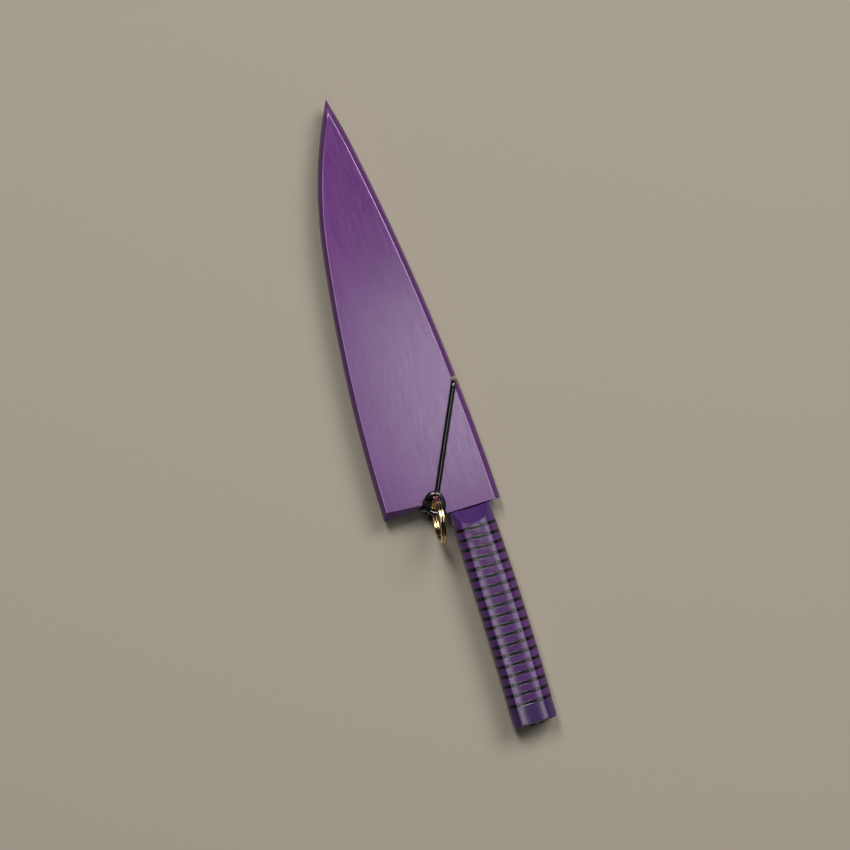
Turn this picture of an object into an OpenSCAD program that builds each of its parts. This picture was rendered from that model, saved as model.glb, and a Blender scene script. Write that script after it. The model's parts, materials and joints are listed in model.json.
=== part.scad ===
// Blade guard for an eight-inch kitchen knife, with the knife that it closes on.
// The guard is a flat wooden sheath with bevelled rims. An elastic cord is hooked in a notch in
// its spine side and hitched over the heel of the blade. A split ring hangs in the cord's eye.
// Origin: centre of the guard's mouth, on the knife's axis, in the plane of the blade.
// +Y runs to the tip, +X to the spine side, +Z out of the front face.

/* [Guard] */
// Thickness of the guard over both faces
guard_t = 14; // [12:0.5:16]
// Thickness of the rails between the two face panels
core_t = 2.6; // [2.4:0.1:3.2]
// Width of the bevel round each face
bevel_w = 2.8; // [1.5:0.1:3.5]
// Depth of that bevel below the face
bevel_d = 2.5; // [1.5:0.1:4]
// How far the side below the bevel leans in, out of the bevel's width
side_draft = 0.8; // [0:0.1:1]
// Width of the rail along the spine side
spine_rail_w = 6.4; // [5.8:0.1:7]
// Width of the rail beside the cutting edge
edge_rail_w = 5; // [4:0.1:6]

/* [Guard spine side] */
// Distance from the axis to the crown of the spine side's long arc
spine_side_x = 16.8; // [16.4:0.1:17.2]
// Radius of the long arc
spine_long_r = 1370; // [1300:10:1450]
// Place along the axis of the long arc's centre
spine_long_y = -38; // [-42:1:-34]
// Place along the axis where the tip arc begins
spine_join_y = 195; // [185:1:200]
// Radius of the tip arc
spine_tip_r = 300; // [250:10:400]

/* [Guard edge side] */
// Distance from the axis to the crown of the edge side's long arc
edge_side_x = 44.8; // [44:0.1:46]
// Radius of the long arc
edge_long_r = 860; // [800:10:950]
// Place along the axis of the long arc's centre
edge_long_y = 14; // [8:1:20]
// Place along the axis where the tip arc begins
edge_join_y = 150; // [140:1:160]
// Radius of the tip arc
edge_tip_r = 235; // [225:1:250]

/* [Guard mouth] */
// Place along the axis of the mouth at the outer edge corner
mouth_corner_y = 5.4; // [4:0.1:6]
// Place along the axis of the mouth where it meets the cord recess
mouth_recess_y = 7.4; // [6.5:0.1:8]
// Distance from the axis to the side of the tongue that covers the blade's neck
tongue_x = 12.8; // [12:0.1:13.5]
// Radius of the round cord recess beside the tongue
recess_r = 5.4; // [5:0.1:5.8]
// Length of the mouth's own bevel at the outer corner
mouth_bevel_l = 4.3; // [3:0.1:5]
// Depth of that bevel below the face, at the outer corner
mouth_bevel_d = 5; // [3:0.1:5.4]
// Length of the mouth's own bevel at the cord recess
mouth_bevel_short_l = 0.7; // [0.5:0.1:2]
// Width of the steep chamfer over the mouth at the handle
mouth_ease_w = 0.5; // [0.3:0.1:0.8]
// Depth of that chamfer below the face
mouth_ease_d = 3.5; // [2:0.1:4]

/* [Cord notch] */
// Place along the axis of the seat that the cord pulls into
notch_seat_y = 64; // [55:0.1:75]
// Distance from the axis to the centre of that seat
notch_seat_x = 10.7; // [10.4:0.1:11]
// Width of the slit that lets the cord into the seat
notch_slit_w = 1.8; // [1.6:0.1:2.4]

/* [Cord and ring] */
// Diameter of the elastic cord
cord_d = 2.8; // [2.4:0.1:3]
// Diameter across the cord's eye
eye_d = 9.8; // [9.6:0.1:10.4]
// Outside diameter of the split ring
ring_d = 24.5; // [24:0.5:26]
// Radial depth of the ring's flat wire
ring_wire_w = 2; // [1.6:0.1:2.2]
// Thickness of the ring over its two turns
ring_wire_t = 2.8; // [2.4:0.1:3.2]

/* [Blade] */
// Thickness of the blade at its spine
blade_t = 2.2; // [1.8:0.1:2.2]
// Side clearance between the blade's spine and the rail
blade_spine_gap = 0.5; // [0.3:0.1:1]
// Side clearance between the cutting edge and the rail
blade_edge_gap = 1.4; // [1:0.1:2]
// Width of the flat grind above the cutting edge
grind_w = 32; // [15:1:36]
// Place along the axis of the blade's heel
heel_y = 11; // [10.6:0.1:11.4]
// Distance from the axis to the edge side of the blade's neck
neck_x = 11.3; // [10:0.1:11.6]
// Radius where the neck runs into the heel
choil_r = 3; // [2:0.5:4]

/* [Handle] */
// Gap between the mouth and the handle's collar
collar_gap = 0.2; // [0.2:0.1:1]
// Length of the front collar
collar_l = 9.4; // [8:0.1:10]
// Length of the collar's scooped ramp along the axis
ramp_l = 8; // [5:0.1:8.4]
// Drop of that ramp from the handle's face to the collar's front
ramp_drop = 5.2; // [4:0.1:5.6]
// Radius of the scoop across the ramp
ramp_r = 22; // [18:1:40]
// Number of purple rings
ring_count = 18; // [18]
// Length of one purple ring
purple_t = 3.54; // [3:0.01:4]
// Length of one black spacer
black_t = 1.7; // [1.2:0.01:2]
// Length of the end cap
end_cap_l = 10.5; // [9:0.1:12]
// Thickness of the handle from face to face
handle_t = 19.6; // [19:0.1:20]
// Greatest distance from the axis to the handle's spine side
handle_spine_x = 11.9; // [11:0.1:12.2]
// Distance from the axis to the handle's edge side, at the collar
handle_edge_x = 11.65; // [11:0.05:12]
// Width of the slanted facets, measured across the handle
facet_w = 4.5; // [4:0.1:5.6]
// Radius of the handle's rounded corners
corner_r = 4.5; // [1:0.1:5]

/* [Hidden] */
core_h = core_t / 2;
guard_h = guard_t / 2;
cord_r = cord_d / 2;

// Each side is [direction, crown, long radius, long centre y, join y, tip radius]
spine_side = [1, spine_side_x, spine_long_r, spine_long_y, spine_join_y, spine_tip_r];
edge_side = [-1, edge_side_x, edge_long_r, edge_long_y, edge_join_y, edge_tip_r];
arc_fn = 1440;
// Longer than any radius, for the cuts between arcs
reach = 3000;
// Furthest that the guard's outline is looked for along and across the axis
span_y = 240;
span_x = 60;

recess_c = [-18.2, 6.8];
mouth_left = -45;
mouth_right = -23;
// How far the mouth's bevel runs on into the cord recess
mouth_bevel_past = 2;
notch_reach = 4;
notch_slit_y = notch_seat_y + 2.2;
seat_r = cord_r + 0.2;

tang_w = 8;
tang_end_y = -100;
rod_d = 5;
tang_clear = 0.2;
bevel_edge_t = 0.3;
micro_w = 0.8;
micro_t = 0.06;

collar_y = -collar_gap;
stack_y = collar_y - collar_l;
pitch = purple_t + black_t;
cap_y = stack_y - ring_count * pitch - black_t;
butt_y = cap_y - end_cap_l;
butt_round = 1.8;
// Angle of each flat strip of the collar's scoop
scoop_step = 5;
handle_crown_y = -70;
handle_crown_r = 1530;
handle_flare_y = -58;
handle_flare_r = 2400;
nut_d = 10.5;
nut_h = 3;
nut_proud = 1.4;
nut_slot_w = 1.4;
nut_clear = 0.1;

// The cord lies on the two faces, from the notch to the eye
cord_z = guard_h + cord_r;
notch_p = [notch_seat_x, notch_seat_y];
strand_end = [-13.85, 12.62];
strand_v = strand_end - notch_p;
strand_l = norm(strand_v);
strand_a = atan2(strand_v[1], strand_v[0]);
hitch_p = [-20.9, 9.4];
eye_p = [-16.7, 8.4];
eye_lift = 0.1;
eye_z = cord_z + eye_lift;
eye_ring_r = (eye_d - cord_d) / 2;
knot_r = 2.2;
knot_p = [-21.2, 4.6, -3.7];
knot_l = 4.6;

// The ring stands in the eye, a little turned and leaning to the spine side
ring_p = [-17.4, -1.3, 13.9];
ring_turn = -7.4;
ring_lean = 9;
ring_groove = 0.3;
ring_round = 0.4;
ring_slit = 0.35;
// Where the ring's two wire ends lie, as an angle round it and a turn to either side
ring_end_a = 200;
ring_end_turn = 9;

function number(i) = i < 10 ? str("0", i) : str(i);
function ring_name(i) = str("purple_ring_", number(i));
function spacer_name(i) = str("black_spacer_", number(i));

// Outline of the guard, which the rails and the blade share at their own insets

// Direction out of the outline at the point where a side's two arcs meet
function join_out(s) =
    let (a = asin((s[4] - s[3]) / s[2]))
    [s[0] * cos(a), sin(a)];
function long_centre(s) = [s[0] * (s[1] - s[2]), s[3]];
function join_point(s) = long_centre(s) + s[2] * join_out(s);
function tip_centre(s) = join_point(s) - s[5] * join_out(s);

// Everything on the tip's side of the line where the arcs meet
module tip_zone(s) {
    translate(join_point(s))
        rotate([0, 0, s[0] * asin(join_out(s)[1])])
            translate([-reach, 0, -reach / 2])
                cube([2 * reach, reach, reach]);
}

// A disc whose rim has the profile of the piece: 0 plain, 1 bevelled, 2 ground to an edge
module rim_disc(r, kind) {
    if (kind == 0)
        cylinder(h = guard_t, r = r, center = true, $fn = arc_fn);
    if (kind == 1)
        rotate_extrude($fn = arc_fn)
            polygon([
                [0, core_h],
                [r, core_h],
                [r - side_draft, guard_h - bevel_d],
                [r - bevel_w, guard_h],
                [0, guard_h]
            ]);
    if (kind == 2)
        rotate_extrude($fn = arc_fn)
            polygon([
                [0, -blade_t / 2],
                [r - grind_w, -blade_t / 2],
                [r - micro_w, -bevel_edge_t / 2],
                [r, -micro_t / 2],
                [r, micro_t / 2],
                [r - micro_w, bevel_edge_t / 2],
                [r - grind_w, blade_t / 2],
                [0, blade_t / 2]
            ]);
}

// The zone inside one side of the outline, at an inset from it
module inside_of(s, inset = 0, kind = 0) {
    difference() {
        translate(long_centre(s)) rim_disc(s[2] - inset, kind);
        tip_zone(s);
    }
    intersection() {
        translate(tip_centre(s)) rim_disc(s[5] - inset, kind);
        tip_zone(s);
    }
}

// The part of the frame that holds the guard, between two heights
module guard_zone(z0, z1) {
    translate([-span_x, 0, z0]) cube([2 * span_x, span_y, z1 - z0]);
}

// What is cut away below the mouth: straight under the tongue, slanted on the edge side
module mouth_cut() {
    slope = (mouth_recess_y - mouth_corner_y) / (mouth_right - mouth_left);
    outer_y = mouth_corner_y - slope * (mouth_left + span_x);
    translate([0, 0, -guard_t])
        linear_extrude(2 * guard_t) {
            polygon([
                [-span_x, -span_y],
                [-span_x, outer_y],
                [mouth_right, mouth_recess_y],
                [-tongue_x, mouth_recess_y],
                [-tongue_x, -span_y]
            ]);
            translate(recess_c) circle(r = recess_r, $fn = 96);
        }
}

// The bevel of the mouth on the edge side, which runs out at the cord recess
module mouth_bevel() {
    a = [mouth_left + bevel_w, mouth_corner_y + mouth_bevel_l, guard_h];
    b = [mouth_right, mouth_recess_y + mouth_bevel_short_l, guard_h];
    run = norm([b[0] - a[0], b[1] - a[1]]);
    turn = atan2(b[1] - a[1], b[0] - a[0]);
    tilt = atan(mouth_bevel_d / (mouth_bevel_l * cos(turn)));
    translate(a)
        rotate([0, 0, turn])
            rotate([tilt, 0, 0])
                translate([-2 * run, -2 * bevel_w - mouth_bevel_l, 0])
                    cube([3 * run + mouth_bevel_past, 2 * bevel_w + mouth_bevel_l, guard_t]);
}

// The steep chamfer over the mouth at the handle, which keeps the edge off the collar
module mouth_ease() {
    translate([-span_x, mouth_ease_w, guard_h])
        rotate([atan(mouth_ease_d / mouth_ease_w), 0, 0])
            translate([0, -2 * mouth_ease_d, 0])
                cube([2 * span_x, 2 * mouth_ease_d, guard_t]);
}

// The hook-shaped notch in the spine side: a slit with a round end and the cord's seat below it
module cord_notch() {
    translate([0, 0, -guard_t])
        linear_extrude(2 * guard_t) {
            translate(notch_p) circle(r = seat_r, $fn = 64);
            translate([notch_seat_x, notch_slit_y]) circle(d = notch_slit_w, $fn = 48);
            translate([notch_seat_x, notch_slit_y - notch_slit_w / 2])
                square([notch_reach, notch_slit_w]);
            translate([notch_seat_x - seat_r, notch_seat_y])
                square([seat_r, notch_slit_y - notch_seat_y]);
        }
}

module face_panel() {
    difference() {
        intersection() {
            inside_of(spine_side, kind = 1);
            inside_of(edge_side, kind = 1);
            guard_zone(-guard_t, guard_t);
        }
        mouth_cut();
        mouth_bevel();
        mouth_ease();
        cord_notch();
    }
}

module front_panel() {
    color("mediumpurple") face_panel();
}

module back_panel() {
    color("mediumpurple") mirror([0, 0, 1]) face_panel();
}

module core_spine_rail() {
    color("rebeccapurple")
        difference() {
            intersection() {
                inside_of(spine_side);
                inside_of(edge_side);
                guard_zone(-core_h, core_h);
            }
            inside_of(spine_side, inset = spine_rail_w);
            mouth_cut();
            cord_notch();
        }
}

module core_edge_rail() {
    color("rebeccapurple")
        difference() {
            intersection() {
                inside_of(spine_side, inset = spine_rail_w);
                inside_of(edge_side);
                guard_zone(-core_h, core_h);
            }
            inside_of(edge_side, inset = edge_rail_w);
            mouth_cut();
        }
}

// The cord: round the notch, down both faces, and hitched over the heel

// One run of cord on a face, from beside the notch to the eye
module strand(z) {
    translate([notch_p[0], notch_p[1], z])
        rotate([0, 0, strand_a])
            rotate([0, 90, 0])
                translate([0, 0, cord_r])
                    cylinder(h = strand_l - cord_r, r = cord_r, $fn = 48);
}

// The turn through the notch, with a short end towards each strand
module cord_spine_bight() {
    color("black")
        translate([notch_p[0], notch_p[1], 0]) {
            cylinder(h = 2 * cord_z, r = cord_r, center = true, $fn = 48);
            for (z = [-cord_z, cord_z])
                translate([0, 0, z]) {
                    sphere(r = cord_r, $fn = 48);
                    rotate([0, 0, strand_a])
                        rotate([0, 90, 0])
                            cylinder(h = cord_r, r = cord_r, $fn = 48);
                }
        }
}

module cord_front_strand() {
    color("black") strand(cord_z);
}

module cord_back_strand() {
    color("black") strand(-cord_z);
}

// The crossing behind the heel, with its end on the back and the eye on the front
module cord_hitch() {
    back_v = strand_end - hitch_p;
    gap = 0.2;
    color("black") {
        translate([hitch_p[0], hitch_p[1], -cord_z])
            cylinder(h = cord_z + eye_z, r = cord_r, $fn = 48);
        translate([hitch_p[0], hitch_p[1], -cord_z]) {
            sphere(r = cord_r, $fn = 48);
            rotate([0, 0, atan2(back_v[1], back_v[0])])
                rotate([0, 90, 0])
                    cylinder(h = norm(back_v) - cord_r - gap, r = cord_r, $fn = 48);
        }
        translate([eye_p[0], eye_p[1], eye_z])
            rotate_extrude($fn = 96)
                translate([eye_ring_r, 0]) circle(r = cord_r, $fn = 48);
    }
}

// The knot that ties the cord's two ends below the eye
module cord_knot() {
    color("black")
        translate(knot_p)
            rotate([90, 0, 0]) {
                sphere(r = knot_r, $fn = 48);
                cylinder(h = knot_l, r = knot_r, $fn = 48);
                translate([0, 0, knot_l]) sphere(r = knot_r, $fn = 48);
            }
}

// Two turns of flat wire lying on each other, with a slit where each turn ends
module split_ring() {
    h = ring_wire_t / 2;
    r = ring_d / 2;
    round_w = ring_round;
    color("gold")
        translate(ring_p)
            rotate([0, 0, ring_turn])
                rotate([0, ring_lean, 0])
                    rotate([0, 90, 0])
                        difference() {
                            rotate_extrude($fn = 180)
                                polygon([
                                    [r - round_w, -h],
                                    [r, -h + round_w],
                                    [r, -ring_groove],
                                    [r - ring_groove, 0],
                                    [r, ring_groove],
                                    [r, h - round_w],
                                    [r - round_w, h],
                                    [r - ring_wire_w + round_w, h],
                                    [r - ring_wire_w, h - round_w],
                                    [r - ring_wire_w, ring_groove],
                                    [r - ring_wire_w + ring_groove, 0],
                                    [r - ring_wire_w, -ring_groove],
                                    [r - ring_wire_w, -h + round_w],
                                    [r - ring_wire_w + round_w, -h]
                                ]);
                            for (k = [-1, 1])
                                rotate([0, 0, ring_end_a + ring_end_turn * k])
                                    translate([0, -ring_slit / 2, k > 0 ? 0 : -ring_wire_t])
                                        cube([ring_d, ring_slit, ring_wire_t]);
                        }
}

// The knife: ground blade with a stick tang, and a stacked handle threaded on it

module blade() {
    color("silver") {
        difference() {
            intersection() {
                inside_of(spine_side, inset = spine_rail_w + blade_spine_gap);
                inside_of(edge_side, inset = edge_rail_w + blade_edge_gap, kind = 2);
                translate([-span_x, collar_y, -blade_t])
                    cube([2 * span_x, span_y, 2 * blade_t]);
            }
            heel_cut();
        }
        translate([-tang_w / 2, tang_end_y, -blade_t / 2])
            cube([tang_w, collar_y - tang_end_y, blade_t]);
        translate([0, tang_end_y + tang_w, 0])
            rotate([90, 0, 0])
                cylinder(h = tang_end_y + tang_w - butt_y, d = rod_d, $fn = 64);
    }
}

// The straight rear edge of the heel and the round choil at the neck
module heel_cut() {
    translate([0, 0, -guard_t])
        linear_extrude(2 * guard_t)
            difference() {
                translate([-span_x, -span_y])
                    square([span_x - neck_x, span_y + heel_y]);
                translate([-neck_x - choil_r, heel_y - choil_r])
                    difference() {
                        square(choil_r);
                        circle(r = choil_r, $fn = 64);
                    }
            }
}

function spine_half(y) = handle_spine_x - pow(y - handle_crown_y, 2) / (2 * handle_crown_r);
function edge_half(y) = handle_edge_x + pow(min(0, y - handle_flare_y), 2) / (2 * handle_flare_r);

// Rounded eight-sided section of the handle at a place along the axis
module handle_section(y) {
    t = handle_t / 2;
    slant_s = (spine_half(y) + t - facet_w) / sqrt(2);
    slant_e = (edge_half(y) + t - facet_w) / sqrt(2);
    reach_of = [spine_half(y), slant_s, t, slant_e, edge_half(y), slant_e, t, slant_s];
    centre = [
        for (k = [0:7])
            let (h0 = reach_of[k] - corner_r, h1 = reach_of[(k + 1) % 8] - corner_r)
            h0 * [cos(45 * k), sin(45 * k)]
                + (h1 / sin(45) - h0) * [-sin(45 * k), cos(45 * k)]
    ];
    polygon([
        for (k = [0:7], e = [k, k + 1])
            centre[k] + corner_r * [cos(45 * e), sin(45 * e)]
    ]);
    for (p = centre)
        translate(p) circle(r = corner_r, $fn = 64);
}

// The hole that clears the tang, and the rod behind it
module tang_hole() {
    square([tang_w + 2 * tang_clear, blade_t + 2 * tang_clear], center = true);
    circle(d = rod_d + 2 * tang_clear, $fn = 64);
}

// One piece of the stack, from a place along the axis towards the butt
module stack_piece(y, l) {
    translate([0, y, 0])
        rotate([90, 0, 0])
            linear_extrude(l)
                difference() {
                    handle_section(y - l / 2);
                    tang_hole();
                }
}

// The front collar, with a scooped ramp down to the blade on both faces
module front_collar() {
    slope = atan(ramp_drop / ramp_l);
    color("indigo")
        difference() {
            stack_piece(collar_y, collar_l);
            for (m = [0, 1])
                mirror([0, 0, m])
                    translate([0, collar_y - ramp_l, handle_t / 2])
                        rotate([-90 - slope, 0, 0])
                            translate([0, -ramp_r, 0])
                                linear_extrude(6 * ramp_l, center = true)
                                    polygon([
                                        for (a = [0:scoop_step:360 - scoop_step])
                                            ramp_r * [cos(a), sin(a)]
                                    ]);
        }
}

module purple_ring(i) {
    color("purple") stack_piece(stack_y - black_t - (i - 1) * pitch, purple_t);
}

module black_spacer(i) {
    color("dimgray") stack_piece(stack_y - (i - 1) * pitch, black_t);
}

// A plate with its two rear corners rounded, for cutting the end cap in two directions
module rounded_rear(half_w) {
    translate([-half_w, butt_y + butt_round])
        square([2 * half_w, end_cap_l]);
    translate([-half_w + butt_round, butt_y])
        square([2 * (half_w - butt_round), end_cap_l]);
    for (x = [-1, 1])
        translate([x * (half_w - butt_round), butt_y + butt_round])
            circle(r = butt_round, $fn = 64);
}

module end_cap() {
    mid_x = (spine_half(butt_y) - edge_half(butt_y)) / 2;
    half_x = (spine_half(butt_y) + edge_half(butt_y)) / 2;
    color("indigo")
        difference() {
            intersection() {
                stack_piece(cap_y, end_cap_l);
                translate([mid_x, 0, -handle_t])
                    linear_extrude(2 * handle_t) rounded_rear(half_x);
                translate([-handle_t, 0, 0])
                    rotate([0, 90, 0])
                        linear_extrude(2 * handle_t)
                            rounded_rear(handle_t / 2);
            }
            translate([0, butt_y + nut_h - nut_proud, 0])
                rotate([90, 0, 0])
                    cylinder(h = nut_h, d = nut_d + 2 * tang_clear, $fn = 96);
        }
}

// The nut on the tang's rod, slotted for a driver
module pommel_nut() {
    color("silver")
        difference() {
            translate([0, butt_y + nut_h - nut_proud, 0])
                rotate([90, 0, 0])
                    cylinder(h = nut_h, d = nut_d, $fn = 96);
            translate([0, butt_y + nut_h, 0])
                rotate([90, 0, 0])
                    cylinder(h = nut_h + nut_clear, d = rod_d + nut_clear, $fn = 64);
            translate([-nut_d, butt_y - 2 * nut_proud, -nut_slot_w / 2])
                cube([2 * nut_d, nut_proud + nut_slot_w / 2, nut_slot_w]);
        }
}

front_panel();
back_panel();
core_spine_rail();
core_edge_rail();
cord_spine_bight();
cord_front_strand();
cord_back_strand();
cord_hitch();
cord_knot();
split_ring();
blade();
front_collar();
for (i = [1:ring_count])
    purple_ring(i);
for (i = [1:ring_count + 1])
    black_spacer(i);
end_cap();
pommel_nut();
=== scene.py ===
"""Looks for the blade guard, its cord and ring, and the striped-handle knife in it."""

import json
import math

import bmesh
import bpy
import numpy as np
from mathutils import Matrix, Vector


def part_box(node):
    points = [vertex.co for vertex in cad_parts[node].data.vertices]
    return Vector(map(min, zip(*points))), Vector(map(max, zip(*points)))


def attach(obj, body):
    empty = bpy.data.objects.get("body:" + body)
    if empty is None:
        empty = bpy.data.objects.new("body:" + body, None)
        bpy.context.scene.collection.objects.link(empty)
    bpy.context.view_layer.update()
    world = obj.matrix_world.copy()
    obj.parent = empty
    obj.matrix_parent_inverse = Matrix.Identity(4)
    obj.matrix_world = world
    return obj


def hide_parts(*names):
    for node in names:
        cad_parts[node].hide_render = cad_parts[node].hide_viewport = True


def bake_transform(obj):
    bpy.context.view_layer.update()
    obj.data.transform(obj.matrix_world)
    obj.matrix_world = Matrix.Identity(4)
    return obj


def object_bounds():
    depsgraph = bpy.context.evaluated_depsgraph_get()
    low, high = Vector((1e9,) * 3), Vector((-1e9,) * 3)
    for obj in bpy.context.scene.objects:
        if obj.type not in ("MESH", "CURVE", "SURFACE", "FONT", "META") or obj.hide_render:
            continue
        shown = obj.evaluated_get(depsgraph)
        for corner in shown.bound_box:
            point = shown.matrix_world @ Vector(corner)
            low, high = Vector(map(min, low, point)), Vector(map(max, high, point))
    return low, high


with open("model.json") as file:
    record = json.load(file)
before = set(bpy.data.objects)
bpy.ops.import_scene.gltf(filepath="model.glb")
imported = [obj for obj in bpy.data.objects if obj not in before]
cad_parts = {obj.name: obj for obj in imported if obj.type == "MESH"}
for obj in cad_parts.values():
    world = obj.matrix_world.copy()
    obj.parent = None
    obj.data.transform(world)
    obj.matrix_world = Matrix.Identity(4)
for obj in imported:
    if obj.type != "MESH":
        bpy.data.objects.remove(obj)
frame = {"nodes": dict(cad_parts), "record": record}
cad_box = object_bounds()

MM = 0.001

# The view, from the photograph: a pixel's size on the guard's face, and the knife's axis in it
PIXEL = 0.515 * MM
PHOTO_SIDE = 850
AXIS_TURN = math.radians(17.115)
VIEW_CENTRE = Vector((-9.9, 47.2, 0)) * MM
CAMERA_HEIGHT = 1.5
SENSOR = 36.0

FACE_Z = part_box("front_panel")[1].z
FLOOR_Z = cad_box[0].z

# The finish on the solids: roundings, the handle's crown, and how flat a face counts as flat
RIM_ROUNDING = 0.3
RIM_SEGMENTS = 4
MOUTH_ROOM = 1.0 * MM
FLAT_NORMAL = 0.99999
CROWN_DROP = 0.42 * MM
CROWN_CUTS = (-6, -4.5, -3, -1.5, 0, 1.5, 3, 4.5, 6)
HANDLE_BORE_REACH = 6 * MM
COLLAR_GAP = 0.02 * MM
SHARP_ANGLE = 32
COLLAR_SHARP_ANGLE = 7

RIGHT = Vector((math.cos(AXIS_TURN), -math.sin(AXIS_TURN), 0))
UP = Vector((math.sin(AXIS_TURN), math.cos(AXIS_TURN), 0))


# Colours


def srgb(r, g, b):
    """A colour that is read as 0 to 255, as linear light with alpha."""
    def linear(c):
        c /= 255
        return c / 12.92 if c <= 0.04045 else ((c + 0.055) / 1.055) ** 2.4
    return (linear(r), linear(g), linear(b), 1.0)


FLOOR_COLOUR = srgb(177, 169, 155)
GUARD_DARK = srgb(99, 46, 119)
GUARD_LIGHT = srgb(114, 59, 134)
# Colour of the painted highlight along the guard's rounded rims
RIM_HIGHLIGHT_COLOUR = srgb(205, 168, 222)
CORE_DARK = srgb(66, 30, 84)
CORE_LIGHT = srgb(88, 48, 106)
RING_DARK = srgb(79, 43, 99)
RING_LIGHT = srgb(94, 55, 116)
COLLAR_DARK = srgb(74, 44, 104)
COLLAR_LIGHT = srgb(86, 54, 117)
CAP_DARK = srgb(60, 40, 86)
CAP_LIGHT = srgb(72, 49, 98)
SPACER_DARK = srgb(11, 10, 14)
SPACER_LIGHT = srgb(24, 22, 29)
RUBBER_DARK = srgb(9, 8, 11)
RUBBER_LIGHT = srgb(18, 17, 20)
GILT_DARK = srgb(214, 184, 132)
GILT_LIGHT = srgb(232, 208, 162)
BLADE_STEEL = (0.40, 0.405, 0.42, 1.0)
# Painted shade: the pommel nut's steel is near black for the shadow it sits in at the handle's butt
NUT_SHADED_STEEL = (0.09, 0.085, 0.09, 1.0)


# Node graphs


class Graph:
    """A new material with one principled shader, and short calls for the nodes behind it."""

    def __init__(self, name):
        self.material = bpy.data.materials.new(name)
        self.material.use_nodes = True
        self.tree = self.material.node_tree
        self.tree.nodes.clear()
        out = self.tree.nodes.new("ShaderNodeOutputMaterial")
        self.shader = self.tree.nodes.new("ShaderNodeBsdfPrincipled")
        self.link(self.shader.outputs[0], out.inputs[0])
        self.place = self.tree.nodes.new("ShaderNodeTexCoord").outputs["Object"]

    def link(self, a, b):
        self.tree.links.new(a, b)

    def set(self, **values):
        for key, value in values.items():
            self.shader.inputs[key.replace("_", " ")].default_value = value

    def scaled(self, size):
        """Object coordinates measured in cells of the given size, in millimetres along x, y and z."""
        node = self.tree.nodes.new("ShaderNodeMapping")
        node.inputs["Scale"].default_value = [1 / (s * MM) for s in size]
        self.link(self.place, node.inputs["Vector"])
        return node.outputs[0]

    def along(self):
        """The place along the knife's axis, in metres."""
        split = self.tree.nodes.new("ShaderNodeSeparateXYZ")
        self.link(self.place, split.inputs[0])
        return split.outputs["Y"]

    def noise(self, size, detail=4.0, roughness=0.55, distortion=0.0):
        node = self.tree.nodes.new("ShaderNodeTexNoise")
        node.inputs["Scale"].default_value = 1.0
        node.inputs["Detail"].default_value = detail
        node.inputs["Roughness"].default_value = roughness
        node.inputs["Distortion"].default_value = distortion
        self.link(self.scaled(size), node.inputs["Vector"])
        return node.outputs["Fac"]

    def ramp(self, value, stops):
        """A ramp over (place, colour or grey) stops."""
        node = self.tree.nodes.new("ShaderNodeValToRGB")
        elements = node.color_ramp.elements
        while len(elements) < len(stops):
            elements.new(0.5)
        for element, (where, colour) in zip(elements, stops):
            element.position = where
            element.color = colour if hasattr(colour, "__len__") else (colour, colour, colour, 1)
        self.link(value, node.inputs[0])
        return node.outputs[0]

    def span(self, value, low, high, from_low=0.3, from_high=0.7):
        """The value's middle range carried onto low to high."""
        node = self.tree.nodes.new("ShaderNodeMapRange")
        ends = {"From Min": from_low, "From Max": from_high, "To Min": low, "To Max": high}
        for key, number in ends.items():
            node.inputs[key].default_value = number
        self.link(value, node.inputs["Value"])
        return node.outputs[0]

    def mix(self, kind, share, a, b):
        """Two colours mixed, share being a number or a value."""
        node = self.tree.nodes.new("ShaderNodeMix")
        node.data_type = "RGBA"
        node.blend_type = kind
        for socket, value in ((node.inputs[0], share), (node.inputs[6], a), (node.inputs[7], b)):
            if isinstance(value, bpy.types.NodeSocket):
                self.link(value, socket)
            else:
                socket.default_value = value
        return node.outputs[2]

    def math(self, kind, a, b):
        node = self.tree.nodes.new("ShaderNodeMath")
        node.operation = kind
        for socket, value in zip(node.inputs, (a, b)):
            if isinstance(value, bpy.types.NodeSocket):
                self.link(value, socket)
            else:
                socket.default_value = value
        return node.outputs[0]

    def bump(self, height, strength, depth):
        node = self.tree.nodes.new("ShaderNodeBump")
        node.inputs["Strength"].default_value = strength
        node.inputs["Distance"].default_value = depth * MM
        self.link(height, node.inputs["Height"])
        self.link(node.outputs[0], self.shader.inputs["Normal"])


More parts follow.
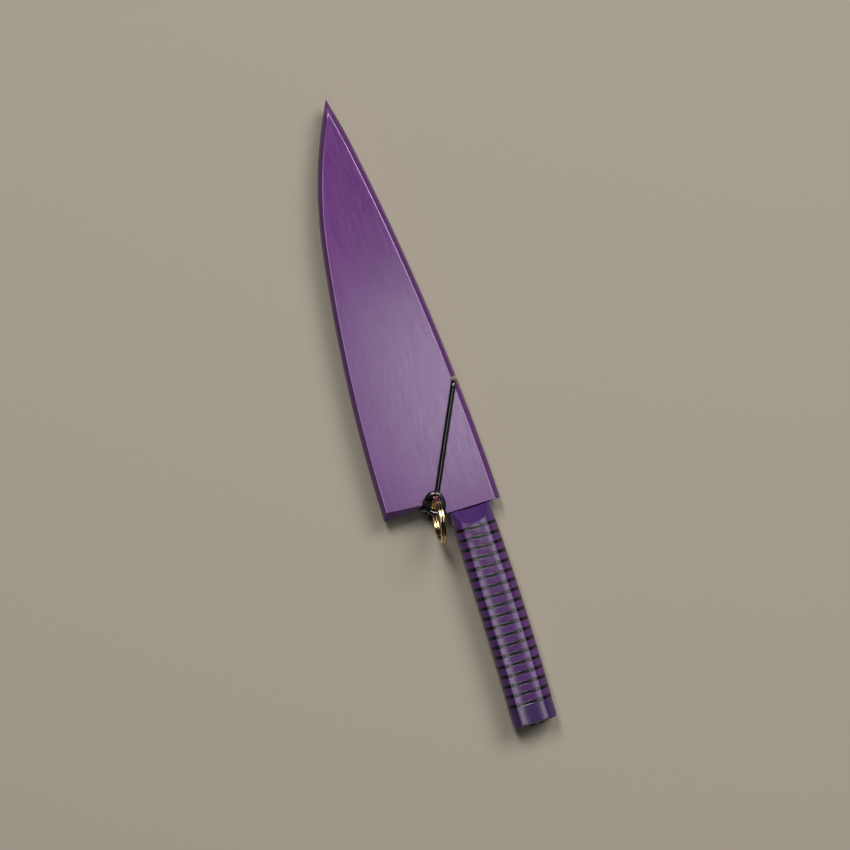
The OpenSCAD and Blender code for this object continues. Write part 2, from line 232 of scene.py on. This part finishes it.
def dyed_wood(name, dark, light, streak, roughness, gloss=0.5, bump=0.25, pitch=None, rim_highlight=None):
    """Dyed close-grained wood under lacquer. streak is the size of a grain streak along x, y and z.
    With a rim highlight colour the sloping sides get painted shade (a darker colour) and less gloss, and the
    rims between them and the faces get a painted highlight in that colour, less so towards the tip."""
    g = Graph(name)
    long_grain = g.noise(streak, detail=5.0, roughness=0.6, distortion=0.2)
    fine_grain = g.noise([s * 0.28 for s in streak], detail=3.0)
    cloud = g.noise((26, 60, 26), detail=2.0)
    both = g.math("ADD", g.math("MULTIPLY", long_grain, 0.62), g.math("MULTIPLY", fine_grain, 0.38))
    colour = g.ramp(both, [(0.36, dark), (0.64, light)])
    clouds = g.ramp(cloud, [(0.3, 0.90), (0.7, 1.06)])
    colour = g.mix("MULTIPLY", 1.0, colour, clouds)
    pores = g.noise([s * 0.5 for s in streak], detail=1.0)
    colour = g.mix("MULTIPLY", 1.0, colour, g.ramp(pores, [(0.24, 0.9), (0.36, 1.0)]))
    if pitch:
        colour = g.mix("MULTIPLY", 1.0, colour, piece_tone(g, pitch))
    g.set(Specular_IOR_Level=gloss)
    if rim_highlight:
        level = face_level(g)
        # Painted shade: the sloping sides are darkened to 0.74 of the wood's colour by which way they face
        colour = g.mix("MULTIPLY", 1.0, colour, g.ramp(level, [(0.76, 0.74), (0.80, 1.0)]))
        # Painted highlight: the rounded rims turn paler in the highlight colour, fading out towards the tip
        painted_rim_highlight = g.ramp(level, [(0.78, 0), (0.82, 0.8), (0.97, 0.8), (0.99, 0)])
        highlight_fading = g.span(g.along(), 1.0, 0.1, 0.185, 0.212)
        colour = g.mix("MIX", g.math("MULTIPLY", painted_rim_highlight, highlight_fading), colour, rim_highlight)
        shine = g.math("MULTIPLY", g.ramp(level, [(0.76, 0.3), (0.80, 1.0)]), gloss)
        g.link(shine, g.shader.inputs["Specular IOR Level"])
    g.link(colour, g.shader.inputs["Base Color"])
    g.link(g.span(fine_grain, roughness - 0.04, roughness + 0.05), g.shader.inputs["Roughness"])
    g.bump(fine_grain, bump, 0.02)
    return g.material


def face_level(g):
    """How far the surface faces straight out of the guard's front or back, from 0 to 1."""
    split = g.tree.nodes.new("ShaderNodeSeparateXYZ")
    g.link(g.tree.nodes.new("ShaderNodeTexCoord").outputs["Normal"], split.inputs[0])
    return g.math("ABSOLUTE", split.outputs["Z"], 0.0)


def piece_tone(g, pitch):
    """A slightly different tone for each piece of the handle's stack, by its place along the axis."""
    step = g.math("FLOOR", g.math("DIVIDE", g.along(), pitch * MM), 0.0)
    white = g.tree.nodes.new("ShaderNodeTexWhiteNoise")
    white.noise_dimensions = "1D"
    g.link(step, white.inputs["W"])
    return g.ramp(white.outputs["Value"], [(0.0, 0.93), (1.0, 1.05)])


def fibre(name):
    """Charcoal fibre spacer, polished, with a faint fleck."""
    g = Graph(name)
    fleck = g.noise((0.5, 0.25, 0.5), detail=3.0)
    g.link(g.ramp(fleck, [(0.35, SPACER_DARK), (0.68, SPACER_LIGHT)]), g.shader.inputs["Base Color"])
    g.link(g.span(fleck, 0.12, 0.18), g.shader.inputs["Roughness"])
    g.set(Specular_IOR_Level=0.8)
    g.bump(fleck, 0.08, 0.02)
    return g.material


def rubber(name):
    """Black elastic cord with a smooth skin."""
    g = Graph(name)
    skin = g.noise((1.2, 1.2, 1.2), detail=4.0)
    g.link(g.ramp(skin, [(0.3, RUBBER_DARK), (0.7, RUBBER_LIGHT)]), g.shader.inputs["Base Color"])
    g.link(g.span(skin, 0.16, 0.22), g.shader.inputs["Roughness"])
    g.set(Specular_IOR_Level=1.0)
    g.bump(skin, 0.2, 0.02)
    return g.material


def gilt(name):
    """Polished brass-coloured plating, with faint handling marks."""
    g = Graph(name)
    marks = g.noise((0.7, 0.7, 3.0), detail=5.0, roughness=0.65)
    g.link(g.ramp(marks, [(0.3, GILT_DARK), (0.7, GILT_LIGHT)]), g.shader.inputs["Base Color"])
    g.link(g.span(marks, 0.10, 0.18), g.shader.inputs["Roughness"])
    g.set(Metallic=1.0)
    return g.material


def steel(name, lines, base, roughness):
    """Brushed steel. lines is the size of one brush mark along x, y and z."""
    g = Graph(name)
    brush = g.noise(lines, detail=6.0, roughness=0.7)
    bright = tuple(min(1.0, c * 1.15) for c in base[:3]) + (1.0,)
    g.link(g.ramp(brush, [(0.3, base), (0.7, bright)]), g.shader.inputs["Base Color"])
    g.link(g.span(brush, roughness - 0.07, roughness + 0.07), g.shader.inputs["Roughness"])
    g.set(Metallic=1.0)
    g.bump(brush, 0.15, 0.01)
    return g.material


# Meshes


def new_piece(name, mesh, material, body, slot, *nodes):
    """A finished mesh as a piece that rides on a body and stands for its CAD nodes."""
    piece = bpy.data.objects.new(name, mesh)
    bpy.context.scene.collection.objects.link(piece)
    mesh.materials.append(material)
    if body:
        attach(piece, body)
    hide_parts(*nodes)
    return piece


def shaded(mesh, sharp_angle):
    mesh.shade_smooth()
    mesh.set_sharp_from_angle(angle=math.radians(sharp_angle))


def even_faces(piece):
    """Flat faces keep flat shading up to their rounded edges."""
    modifier = piece.modifiers.new("even_faces", "WEIGHTED_NORMAL")
    modifier.weight = 90
    modifier.keep_sharp = True


def rounded_copy(node, roundings, fold=25, shape=None, sharp_angle=SHARP_ANGLE):
    """The CAD node's shape with its flat faces joined up and its sharp edges rounded. Each rounding is
    a width in millimetres, a count of segments and a test that tells from an edge's two ends if it is
    rounded so. shape changes the mesh before the rounding."""
    bm = bmesh.new()
    bm.from_mesh(frame["nodes"][node].data)
    bmesh.ops.remove_doubles(bm, verts=bm.verts, dist=0.002 * MM)
    bmesh.ops.dissolve_limit(bm, angle_limit=math.radians(0.3), verts=bm.verts, edges=bm.edges)
    if shape:
        shape(bm)
    for width, segments, chosen in roundings:
        sharp = [
            e for e in bm.edges
            if len(e.link_faces) == 2
            and e.calc_face_angle(0) > math.radians(fold)
            and chosen(e.verts[0].co, e.verts[1].co)
        ]
        bmesh.ops.bevel(
            bm, geom=sharp, offset=width * MM, offset_type="OFFSET", segments=segments,
            profile=0.5, affect="EDGES", clamp_overlap=False,
        )
    bmesh.ops.triangulate(bm, faces=[f for f in bm.faces if len(f.verts) > 4])
    bmesh.ops.recalc_face_normals(bm, faces=bm.faces)
    mesh = bpy.data.meshes.new(node + "_rounded")
    bm.to_mesh(mesh)
    bm.free()
    shaded(mesh, sharp_angle)
    return mesh


def smooth_path(points, step=0.35):
    """Points along a smooth curve through the given ones, about step millimetres apart."""
    p = np.array(points, float)
    ends = [2 * p[0] - p[1], *p, 2 * p[-1] - p[-2]]
    path = []
    for a, b, c, d in zip(ends, ends[1:], ends[2:], ends[3:]):
        count = max(2, int(np.linalg.norm(c - b) / step))
        for t in np.arange(count) / count:
            path.append(
                b + 0.5 * t * (c - a + t * (2 * a - 5 * b + 4 * c - d + t * (3 * (b - c) + d - a)))
            )
    return np.array([*path, p[-1]])


def swept(name, path, section, closed=False):
    """A mesh of the section, (n, 2) points in millimetres, carried along the path without twisting."""
    path = np.array(path, float)
    ahead = np.roll(path, -1, 0) - np.roll(path, 1, 0)
    if not closed:
        ahead[0] = path[1] - path[0]
        ahead[-1] = path[-1] - path[-2]
    ahead /= np.linalg.norm(ahead, axis=1)[:, None]
    side = np.cross(ahead[0], (0.3, 0.2, 0.93))
    side /= np.linalg.norm(side)
    sides = []
    for t in ahead:
        side = side - t * (side @ t)
        side /= np.linalg.norm(side)
        sides.append(side)
    bm = bmesh.new()
    rings = []
    for at, t, s in zip(path, ahead, sides):
        up = np.cross(t, s)
        rings.append([bm.verts.new((at + s * a + up * b) * MM) for a, b in section])
    count = len(section)
    pairs = list(zip(rings, rings[1:])) + ([(rings[-1], rings[0])] if closed else [])
    for low, high in pairs:
        for k in range(count):
            bm.faces.new((low[k], low[(k + 1) % count], high[(k + 1) % count], high[k]))
    if not closed:
        for ring, at, t, out in ((rings[0], path[0], ahead[0], -1), (rings[-1], path[-1], ahead[-1], 1)):
            dome(bm, ring, Vector(at * MM), Vector(t * out))
    bmesh.ops.recalc_face_normals(bm, faces=bm.faces)
    mesh = bpy.data.meshes.new(name)
    bm.to_mesh(mesh)
    bm.free()
    shaded(mesh, 60)
    return mesh


def dome(bm, ring, centre, out, bulge=0.55, steps=3):
    """Closes a tube's end with a shallow dome."""
    offsets = [v.co - centre for v in ring]
    radius = sum(o.length for o in offsets) / len(offsets)
    last = ring
    for i in range(1, steps):
        turn = math.pi / 2 * i / steps
        lift = out * (radius * bulge * math.sin(turn))
        new = [bm.verts.new(centre + o * math.cos(turn) + lift) for o in offsets]
        for k in range(len(new)):
            bm.faces.new((last[k], last[(k + 1) % len(new)], new[(k + 1) % len(new)], new[k]))
        last = new
    tip = bm.verts.new(centre + out * radius * bulge)
    for k in range(len(last)):
        bm.faces.new((last[k], last[(k + 1) % len(last)], tip))


def circle(radius, sides=20):
    turns = (2 * math.pi * k / sides for k in range(sides))
    return [(radius * math.cos(t), radius * math.sin(t)) for t in turns]


# Guard


def rim_edge(a, b):
    """True for the edges between the guard's faces and their bevels along its two long sides."""
    length = (a - b).length
    on_face = min(abs(a.z), abs(b.z)) > FACE_Z - 0.01 * MM
    past_mouth = max(a.y, b.y) > MOUTH_ROOM
    lengthwise = abs(a.y - b.y) > 0.7 * length
    return on_face and past_mouth and lengthwise and length > MM


def make_guard():
    wood = dyed_wood("guard_wood", GUARD_DARK, GUARD_LIGHT, (1.1, 34, 1.1), 0.16, gloss=0.8, rim_highlight=RIM_HIGHLIGHT_COLOUR)
    core = dyed_wood("guard_core_wood", CORE_DARK, CORE_LIGHT, (1.1, 30, 0.8), 0.36)
    for node in ("front_panel", "back_panel"):
        mesh = rounded_copy(node, [(RIM_ROUNDING, RIM_SEGMENTS, rim_edge)])
        for face in mesh.polygons:
            if abs(face.normal.z) > FLAT_NORMAL:
                face.use_smooth = False
        even_faces(new_piece(node + "_wood", mesh, wood, "guard", "guard_wood", node))
    for node in ("core_spine_rail", "core_edge_rail"):
        mesh = rounded_copy(node, [])
        new_piece(node + "_wood", mesh, core, "guard", "guard_core_wood", node)


# Cord


def make_cord():
    black = rubber("cord_rubber")
    low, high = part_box("cord_spine_bight")
    radius = (high.z - FACE_Z) / 2 / MM
    notch = (low + high) / 2 / MM
    notch.x = high.x / MM - radius
    notch.y = high.y / MM - radius
    lie = FACE_Z / MM + radius
    eye_end = Vector((-14.9, 10.6, 0))
    span = eye_end - Vector((notch.x, notch.y, 0))
    run = span.normalized()
    length = span.length

    def on_strand(along, z):
        """A place on the strand's line, from the notch towards the eye."""
        return (notch.x + run.x * along, notch.y + run.y * along, z)

    # From the eye across the front face, then over the side into the notch
    half = [on_strand(a, z) for a, z in (
        (length, lie - 0.2), (length - 4, lie), (length - 12, lie), (length * 0.6, lie),
        (length * 0.3, lie), (6, lie), (2.6, lie - 0.03), (0.9, lie - 0.35),
        (0.1, lie - 1.4), (0, lie - 3.2), (0, lie - 6),
    )]
    loop = half + [(x, y, -z) for x, y, z in reversed(half)]
    mesh = swept("cord_loop", smooth_path(loop), circle(radius))
    piece = new_piece(
        "cord_loop", mesh, black, None, "cord_rubber",
        "cord_spine_bight", "cord_front_strand", "cord_back_strand",
    )
    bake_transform(piece)

    rise = [
        (-19.0, 9.8, 0.25 - lie), (-20.4, 9.6, -7.6), (-21.0, 9.4, -5.0), (-21.0, 9.3, -0.8),
        (-21.0, 9.2, 3.2), (-20.9, 9.2, 6.4), (-20.7, 9.6, 8.7),
    ]
    eye = [
        (-19.8, 10.6, 9.7), (-18.3, 11.9, 10.1), (-16.2, 12.3, 10.2), (-14.4, 11.6, 10.2),
        (-13.2, 9.6, 10.0), (-12.8, 7.0, 9.8), (-13.3, 4.6, 9.6), (-14.6, 2.7, 9.4),
        (-16.6, 2.0, 9.1), (-18.6, 2.6, 8.9), (-20.2, 4.0, 8.4),
    ]
    return_to_knot = [
        (-21.9, 5.3, 6.8), (-23.6, 6.0, 4.2), (-24.0, 5.9, 1.6), (-22.7, 5.1, -1.4),
    ]
    back_end = on_strand(length - 1, -lie)
    mesh = swept("cord_eye", smooth_path([back_end, *rise, *eye, *return_to_knot]), circle(radius))
    new_piece("cord_eye", mesh, black, "retainer", "cord_rubber", "cord_hitch")

    knot_low, knot_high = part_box("cord_knot")
    centre = (knot_low + knot_high) / 2 / MM
    points = 90
    wrap_x, wrap_y, wrap_z = 0.42, 1.06, 0.85
    knot = [
        (
            centre.x + wrap_x * (math.sin(t) + 2 * math.sin(2 * t)),
            centre.y + wrap_y * (math.cos(t) - 2 * math.cos(2 * t)),
            centre.z - wrap_z * math.sin(3 * t),
        )
        for t in (2 * math.pi * k / points for k in range(points))
    ]
    mesh = swept("cord_knot_wraps", knot, circle(radius * 0.82, 16), closed=True)
    new_piece("cord_knot_wraps", mesh, black, "retainer", "cord_rubber", "cord_knot")


# Split ring


def make_ring():
    metal = gilt("ring_metal")
    turn = math.radians(-7.4)
    lean = math.radians(9)
    outer = 12.25
    depth = 2.0
    thick = 1.4
    centre = Vector((-17.4, -1.3, 13.9))
    axis = Matrix.Rotation(turn, 3, "Z") @ Matrix.Rotation(lean, 3, "Y") @ Vector((1, 0, 0))
    across = Matrix.Rotation(turn, 3, "Z") @ Vector((0, 1, 0))
    upward = axis.cross(across)
    gap = math.radians(13)
    start_at = math.radians(-70)
    steps = 300
    sides = 20
    squareness = 0.42
    play = 0.015
    rows = []
    for k in range(steps + 1):
        t = gap + (4 * math.pi - 2 * gap) * k / steps
        cross = min(1.0, max(0.0, (t - (2 * math.pi - gap)) / (2 * gap)))
        offset = thick / 2 * (2 * cross * cross * (3 - 2 * cross) - 1)
        rows.append((t + start_at, offset))
    bm = bmesh.new()
    rings = []
    for t, offset in rows:
        out = across * math.cos(t) + upward * math.sin(t)
        ring = []
        for k in range(sides):
            a = 2 * math.pi * (k + 0.5) / sides
            c, s = math.cos(a), math.sin(a)
            u = math.copysign(abs(c) ** squareness, c) * depth / 2
            v = math.copysign(abs(s) ** squareness, s) * (thick / 2 - play)
            ring.append(bm.verts.new((centre + out * (outer - depth / 2 + u) + axis * (offset + v)) * MM))
        rings.append(ring)
    count = len(rings[0])
    for a, b in zip(rings, rings[1:]):
        for k in range(count):
            bm.faces.new((a[k], a[(k + 1) % count], b[(k + 1) % count], b[k]))
    for ring in (rings[0], rings[-1]):
        bm.faces.new(ring)
    bmesh.ops.recalc_face_normals(bm, faces=bm.faces)
    mesh = bpy.data.meshes.new("split_ring_wire")
    bm.to_mesh(mesh)
    bm.free()
    shaded(mesh, 50)
    new_piece("split_ring_wire", mesh, metal, "key_ring", "ring_metal", "split_ring")


# Knife


def handle_skin(a, b):
    """True for the edges on the outside of the handle's stack, and not for the hole through it."""
    return min(math.hypot(a.x, a.z), math.hypot(b.x, b.z)) > HANDLE_BORE_REACH


def crown(bm):
    """Bows the handle's two broad faces a little, down towards their long edges."""
    for x in CROWN_CUTS:
        bmesh.ops.bisect_plane(
            bm, geom=[*bm.verts, *bm.edges, *bm.faces], dist=0.001 * MM,
            plane_co=(x * MM, 0, 0), plane_no=(1, 0, 0),
        )
    tall = max(v.co.z for v in bm.verts)
    broad = [v for v in bm.verts if abs(v.co.z) > tall - CROWN_DROP - 0.01 * MM]
    reach = {side: max(v.co.x * side for v in broad) for side in (-1, 1)}
    for v in broad:
        side = 1 if v.co.x > 0 else -1
        v.co.z = math.copysign(tall - CROWN_DROP * (v.co.x / reach[side]) ** 2, v.co.z)


def close_collar(bm):
    """The crowned collar, brought up to the guard's mouth so that no steel shows between them."""
    crown(bm)
    front = max(v.co.y for v in bm.verts)
    for v in bm.verts:
        if v.co.y > front - 0.05 * MM:
            v.co.y = -COLLAR_GAP


def make_knife():
    blade = steel("blade_steel", (0.35, 14, 0.35), BLADE_STEEL, 0.46)
    # The nut's steel carries painted shade, near black for the shadow at the butt
    nut = steel("nut_steel", (0.8, 0.8, 0.8), NUT_SHADED_STEEL, 0.33)
    collar = dyed_wood("collar_wood", COLLAR_DARK, COLLAR_LIGHT, (1.2, 9, 1.2), 0.13, 0.8, 0.08)
    cap = dyed_wood("cap_wood", CAP_DARK, CAP_LIGHT, (1.2, 9, 1.2), 0.13, 0.8, 0.08)
    rings = dyed_wood("ring_wood", RING_DARK, RING_LIGHT, (1.8, 1.4, 1.8), 0.13, 0.8, 0.08, pitch=5.24)
    spacers = fibre("spacer_fibre")
    finish = {
        "blade": blade, "pommel_nut": nut, "front_collar": collar, "end_cap": cap,
        "ring_wood": rings, "spacer_fibre": spacers,
    }
    slots = {s["node"]: s["material_slot"] for s in frame["record"]["subparts"]}
    widths = {"ring_wood": 0.1, "spacer_fibre": 0.1, "end_wood": 0.25, "nut_steel": 0.2}
    crowned = ("ring_wood", "spacer_fibre", "end_wood")
    for node in frame["record"]["behaviour"]["bodies"]["knife"]:
        slot = slots[node]
        if node == "front_collar":
            mesh = rounded_copy(node, [], shape=close_collar, sharp_angle=COLLAR_SHARP_ANGLE)
        else:
            chosen = handle_skin if slot != "nut_steel" else lambda a, b: True
            roundings = [(widths[slot], 2, chosen)] if slot in widths else []
            mesh = rounded_copy(node, roundings, shape=crown if slot in crowned else None)
        material = finish[node] if node in finish else finish[slot]
        piece = new_piece(node + "_finished", mesh, material, "knife", slot, node)
        even_faces(piece)


# Floor, lights and camera


def make_floor():
    g = Graph("floor_paper")
    grain = g.noise((0.8, 0.8, 0.8), detail=3.0)
    low = tuple(c * 0.985 for c in FLOOR_COLOUR[:3]) + (1.0,)
    g.link(g.ramp(grain, [(0.3, low), (0.7, FLOOR_COLOUR)]), g.shader.inputs["Base Color"])
    g.set(Roughness=0.9, Specular_IOR_Level=0.1)
    half = 6.0
    mesh = bpy.data.meshes.new("floor")
    corners = [(-half, -half, FLOOR_Z), (half, -half, FLOOR_Z), (half, half, FLOOR_Z), (-half, half, FLOOR_Z)]
    mesh.from_pydata(corners, [], [(0, 1, 2, 3)])
    floor = bpy.data.objects.new("floor", mesh)
    bpy.context.scene.collection.objects.link(floor)
    mesh.materials.append(g.material)


def softbox(name, at, towards, width, height, watts, colour=(1, 1, 1)):
    data = bpy.data.lights.new(name, "AREA")
    data.shape = "RECTANGLE"
    data.size = width
    data.size_y = height
    data.energy = watts
    data.color = colour
    lamp = bpy.data.objects.new(name, data)
    lamp.location = at
    lamp.rotation_mode = "QUATERNION"
    lamp.rotation_quaternion = (Vector(towards) - Vector(at)).to_track_quat("-Z", "Y")
    bpy.context.scene.collection.objects.link(lamp)


def overhead(name, x, y, height, width, length, watts):
    """A softbox that faces straight down."""
    softbox(name, over(x, y, height), over(x, y, 0), width, length, watts)


def over(x, y, height):
    """A place over the floor, x towards the spine side and y towards the tip from the view's centre."""
    return VIEW_CENTRE + Vector((x, y, FLOOR_Z + height))


def make_lights():
    centre = over(0, 0, 0)
    warm = (1.0, 0.985, 0.96)
    softbox("key", over(2.362, 1.62, 3.375), centre, 2.2, 2.2, 107.0, warm)
    softbox("tip_side", over(-0.135, 1.85, 3.375), centre, 0.675, 1.5, 64.0, warm)
    overhead("sheen", 0.067, 0.028, 1.6, 0.23, 0.24, 0.66)
    overhead("handle_left", -0.221, -0.245, 1.35, 0.14, 0.26, 0.32)
    overhead("handle_right", 0.297, -0.19, 1.35, 0.16, 0.38, 0.48)
    world = bpy.data.worlds.new("studio")
    world.use_nodes = True
    background = world.node_tree.nodes["Background"]
    background.inputs["Color"].default_value = (0.92, 0.92, 0.95, 1)
    background.inputs["Strength"].default_value = 0.012
    bpy.context.scene.world = world


def make_camera():
    data = bpy.data.cameras.new("camera")
    data.sensor_width = SENSOR
    data.lens = SENSOR * CAMERA_HEIGHT / (PIXEL * PHOTO_SIDE)
    camera = bpy.data.objects.new("camera", data)
    place = VIEW_CENTRE.copy()
    place.z = FACE_Z + CAMERA_HEIGHT
    columns = (RIGHT, UP, Vector((0, 0, 1)))
    camera.matrix_world = Matrix([[c[i] for c in columns] + [place[i]] for i in range(3)] + [[0, 0, 0, 1]])
    bpy.context.scene.collection.objects.link(camera)
    bpy.context.scene.camera = camera
    bpy.context.scene.view_settings.view_transform = "Standard"


make_camera()
make_floor()
make_lights()
make_guard()
make_cord()
make_ring()
make_knife()
